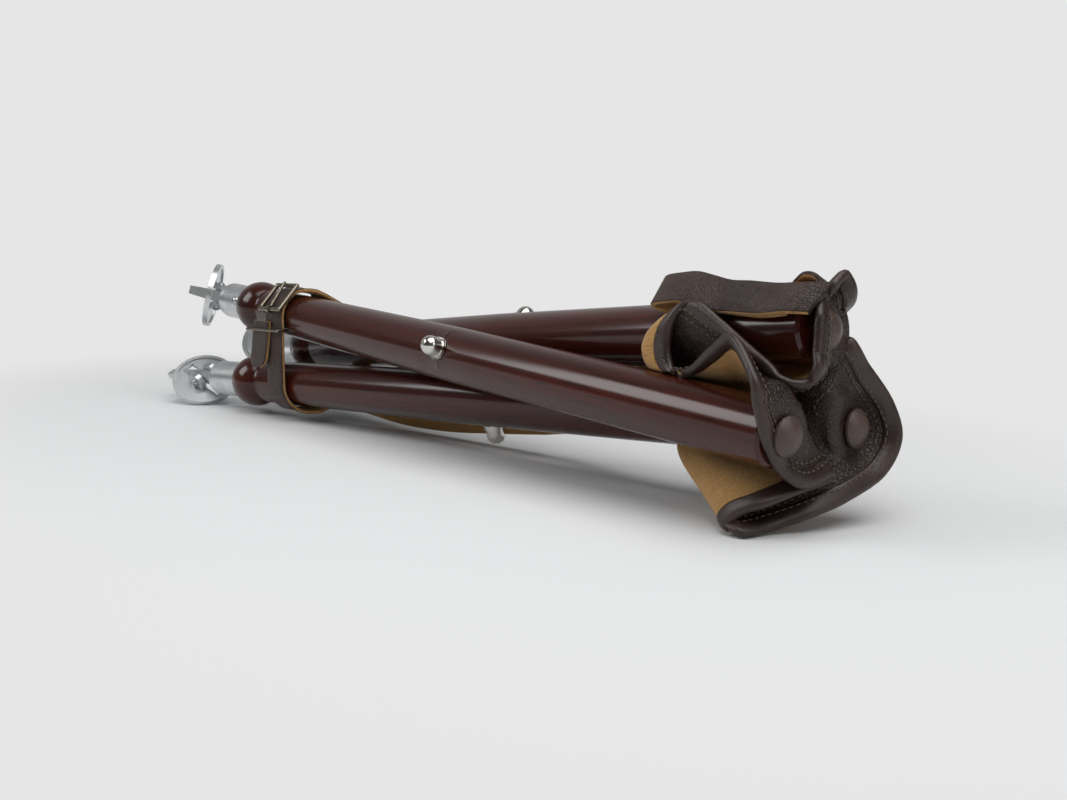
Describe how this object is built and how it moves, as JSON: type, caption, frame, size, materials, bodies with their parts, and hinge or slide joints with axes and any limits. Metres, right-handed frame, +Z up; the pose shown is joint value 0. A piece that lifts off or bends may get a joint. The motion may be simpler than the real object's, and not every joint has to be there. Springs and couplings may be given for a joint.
{
  "type": "folding tripod stool",
  "caption": "Folding tripod stool, folded and strapped: turned hardwood legs crossed on a three-way bolt, swivelling ground discs and a triangular leather seat.",
  "frame": {"origin": "Middle of the folded, lying stool's footprint, on the floor.", "axes": "+X along the folded bundle from the feet to the seat, +Z up, +Y away from the side with the buckle and the hanging front fold."},
  "size_m": [0.5794, 0.1048, 0.1117],
  "materials": {
    "leg_wood": "glossy lacquered reddish hardwood",
    "cast_foot": "cast and lightly polished",
    "nickel": "polished nickel plate",
    "bright_steel": "plain bright steel",
    "leather_grain": "dark brown grained hide",
    "leather_flesh": "tan suede underside and cut edges",
    "buckle_metal": "dull antique nickel over brass",
    "thread": "waxed sewing thread"
  },
  "bodies": {
    "hub": {"three_way_bolt": "bright_steel", "inner_washers": "bright_steel", "outer_washers": "nickel", "cap_nut_1": "nickel", "cap_nut_2": "nickel", "cap_nut_3": "nickel", "seat_leather": "leather_grain", "carry_strap": "leather_grain"},
    "leg_1": {"leg_1": "leg_wood", "ferrule_1": "cast_foot", "ferrule_screw_1": "bright_steel", "disc_pin_1": "bright_steel", "seat_button_1": "leather_grain", "button_screw_1": "bright_steel", "buckle_frame": "buckle_metal", "strap_keeper": "buckle_metal"},
    "leg_2": {"leg_2": "leg_wood", "ferrule_2": "cast_foot", "ferrule_screw_2": "bright_steel", "disc_pin_2": "bright_steel", "seat_button_2": "leather_grain", "button_screw_2": "bright_steel"},
    "leg_3": {"leg_3": "leg_wood", "ferrule_3": "cast_foot", "ferrule_screw_3": "bright_steel", "disc_pin_3": "bright_steel", "seat_button_3": "leather_grain", "button_screw_3": "bright_steel"},
    "ground_disc_1": {"ground_disc_1": "cast_foot"},
    "ground_disc_2": {"ground_disc_2": "cast_foot"},
    "ground_disc_3": {"ground_disc_3": "cast_foot"},
    "buckle_prong": {"buckle_prong": "buckle_metal"}
  },
  "joints": [
    {"name": "fold_1", "type": "hinge", "parent": "hub", "child": "leg_1", "pos_m": [0.05368, -0.02382, 0.0609], "axis": [0.0105, 0.9379, -0.3468], "range_deg": [0, 33], "deforming": ["seat_leather", "carry_strap"]},
    {"name": "fold_2", "type": "hinge", "parent": "hub", "child": "leg_2", "pos_m": [0.05452, -0.00103, 0.03346], "axis": [-0.0299, -0.1685, 0.9852], "range_deg": [0, 33], "deforming": ["seat_leather", "carry_strap"]},
    {"name": "fold_3", "type": "hinge", "parent": "hub", "child": "leg_3", "pos_m": [0.0535, 0.01135, 0.06691], "axis": [0.0194, -0.7694, -0.6385], "range_deg": [0, 33], "deforming": ["seat_leather", "carry_strap"]},
    {"name": "disc_tilt_1", "type": "hinge", "parent": "leg_1", "child": "ground_disc_1", "pos_m": [-0.24362, -0.01391, 0.07867], "axis": [0.0663, 0.2623, 0.9627], "range_deg": [-115, 5]},
    {"name": "disc_tilt_2", "type": "hinge", "parent": "leg_2", "child": "ground_disc_2", "pos_m": [-0.24183, -0.02918, 0.01965], "axis": [0.1051, -0.8729, -0.4765], "range_deg": [-117, 3]},
    {"name": "disc_tilt_3", "type": "hinge", "parent": "leg_3", "child": "ground_disc_3", "pos_m": [-0.24232, 0.02959, 0.03594], "axis": [0.1139, 0.7598, -0.6401], "range_deg": [-112, 8]},
    {"name": "prong_lift", "type": "hinge", "parent": "leg_1", "child": "buckle_prong", "pos_m": [-0.1279, -0.03881, 0.07732], "axis": [0.9995, 0, 0.0304], "range_deg": [0, 100]}
  ],
  "couplings": [
    {"joint": "fold_2", "follows": "fold_1", "ratio": 1},
    {"joint": "fold_3", "follows": "fold_1", "ratio": 1}
  ]
}
